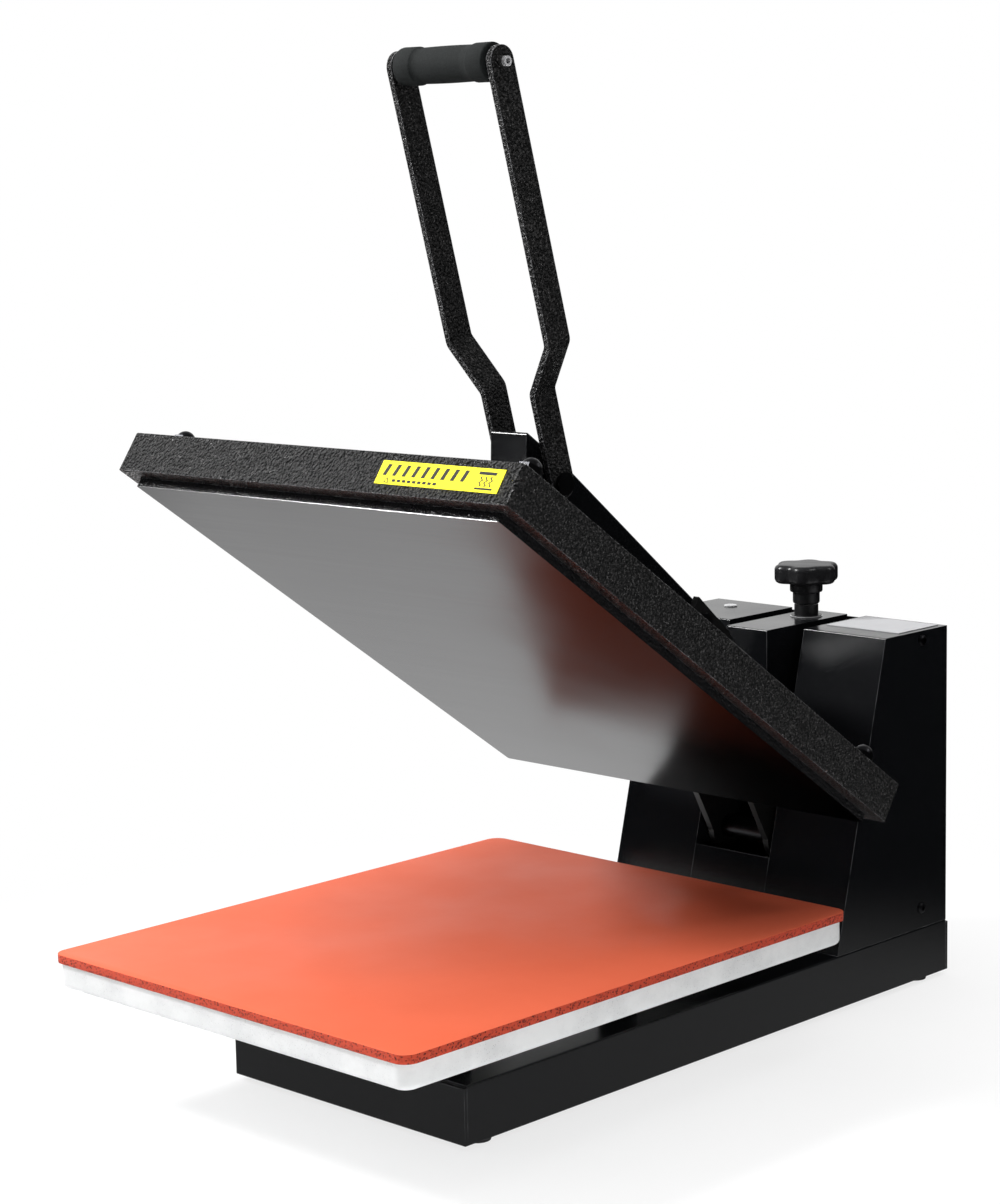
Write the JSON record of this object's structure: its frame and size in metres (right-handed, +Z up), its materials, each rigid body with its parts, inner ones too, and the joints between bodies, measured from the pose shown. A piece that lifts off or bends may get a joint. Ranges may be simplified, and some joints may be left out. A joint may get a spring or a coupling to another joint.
{
  "type": "heat press",
  "caption": "Clamshell heat press: lower platen with silicone pad, hinged heated platen, toggle handle and pressure knob on a sheet metal base.",
  "frame": {"origin": "centre of the overall box, on the surface the feet stand on, with the press open", "axes": "+Z up; +X to the operator's right along the main shaft; +Y from the operator's side to the rear housing"},
  "size_m": [0.428, 0.737, 0.8143],
  "materials": {
    "hammertone_black": "wrinkle powder coat, black",
    "satin_black": "smooth satin black paint",
    "cast_aluminium": "bright milled cast aluminium",
    "satin_platen": "satin hard-coated aluminium",
    "silicone": "orange-red silicone sponge",
    "bright_steel": "zinc plated",
    "dark_steel": "black oxide",
    "bronze": "sintered bronze",
    "black_plastic": "moulded, fine grain",
    "rocker_plastic": "moulded red",
    "button_rubber": "soft moulded",
    "foam": "closed-cell foam",
    "rubber": "matte",
    "display": "dark tinted window",
    "board": "green solder mask",
    "label_white": "blank printed label",
    "label_yellow": "yellow vinyl with a plain hazard stripe",
    "mineral_wool": "woven insulation"
  },
  "bodies": {
    "frame": {"base_channel": "satin_black", "base_front_plate": "satin_black", "base_rear_plate": "satin_black", "rubber_feet": "rubber", "platen_posts": "satin_black", "post_bolts": "bright_steel", "lower_platen": "cast_aluminium", "silicone_pad": "silicone", "housing_left": "satin_black", "housing_right": "satin_black", "bay_sill": "satin_black", "rear_panel": "satin_black", "pressure_tower": "satin_black", "screw_bush": "black_plastic", "pivot_brackets": "satin_black", "shaft_bushes": "bronze", "counterbalance_springs": "dark_steel", "controller_bezel": "black_plastic", "controller_display": "display", "controller_board": "board", "switch_bezel": "black_plastic", "mains_inlet": "black_plastic", "relay_module": "black_plastic", "label_plate": "label_white"},
    "arm": {"upper_cover": "hammertone_black", "heat_platen": "satin_platen", "heating_element": "bright_steel", "insulation_mat": "mineral_wool", "platen_studs": "bright_steel", "acorn_nuts": "dark_steel", "stud_washers": "dark_steel", "arm_mount_plate": "satin_black", "beam_channel": "satin_black", "cheek_plate_left": "satin_black", "cheek_plate_right": "satin_black", "cheek_bolts": "dark_steel", "main_shaft": "dark_steel", "spring_collars": "bright_steel", "heat_sensor": "bright_steel", "cable_gland": "black_plastic", "caution_label": "label_yellow", "handle_bushes": "bronze"},
    "handle": {"handle_bar_left": "hammertone_black", "handle_bar_right": "hammertone_black", "grip_rod": "bright_steel", "foam_grip": "foam", "grip_screws": "bright_steel", "handle_pivot_pin": "dark_steel", "crank_lever": "dark_steel", "crank_pin": "bright_steel"},
    "toggle_link": {"link_bars": "dark_steel", "link_pin": "bright_steel"},
    "pressure_block": {"pressure_block": "dark_steel"},
    "adjusting_knob": {"pressure_knob": "black_plastic", "pressure_screw": "bright_steel"},
    "rocker": {"power_rocker": "rocker_plastic"},
    "set_key": {"set_button": "button_rubber"},
    "down_key": {"down_button": "button_rubber"},
    "up_key": {"up_button": "button_rubber"},
    "mode_key": {"mode_button": "button_rubber"}
  },
  "joints": [
    {"name": "arm_hinge", "type": "hinge", "parent": "frame", "child": "arm", "pos_m": [0, 0.2536, 0.1337], "axis": [1, 0, 0], "range_deg": [0, 34.76]},
    {"name": "handle_hinge", "type": "hinge", "parent": "arm", "child": "handle", "pos_m": [0, -0.01758, 0.471], "axis": [1, 0, 0], "range_deg": [0, 31.62]},
    {"name": "link_hinge", "type": "hinge", "parent": "handle", "child": "toggle_link", "pos_m": [0, -0.02979, 0.40149], "axis": [1, 0, 0], "range_deg": [-40.45, 0]},
    {"name": "pressure_slide", "type": "slide", "parent": "frame", "child": "pressure_block", "axis": [0, 0, 1], "range_m": [-0.006, 0.006]},
    {"name": "knob_turn", "type": "hinge", "parent": "frame", "child": "adjusting_knob", "pos_m": [0, 0.3325, 0.34], "axis": [0, 0, 1], "range_deg": [-1235.29, 1235.29]},
    {"name": "rocker_tilt", "type": "hinge", "parent": "frame", "child": "rocker", "pos_m": [-0.118, 0.322, 0.15], "axis": [0, 1, 0], "range_deg": [-10, 0]},
    {"name": "set_press", "type": "slide", "parent": "frame", "child": "set_key", "axis": [1, 0, 0], "range_m": [0, 0.001], "stiffness_N_per_m": 400},
    {"name": "down_press", "type": "slide", "parent": "frame", "child": "down_key", "axis": [1, 0, 0], "range_m": [0, 0.001], "stiffness_N_per_m": 400},
    {"name": "up_press", "type": "slide", "parent": "frame", "child": "up_key", "axis": [1, 0, 0], "range_m": [0, 0.001], "stiffness_N_per_m": 400},
    {"name": "mode_press", "type": "slide", "parent": "frame", "child": "mode_key", "axis": [1, 0, 0], "range_m": [0, 0.001], "stiffness_N_per_m": 400}
  ],
  "couplings": [
    {"joint": "handle_hinge", "follows": "arm_hinge", "ratio": 0.901},
    {"joint": "link_hinge", "follows": "arm_hinge", "ratio": -1.145},
    {"joint": "knob_turn", "follows": "pressure_slide", "rad_per_m": 3590.4}
  ]
}
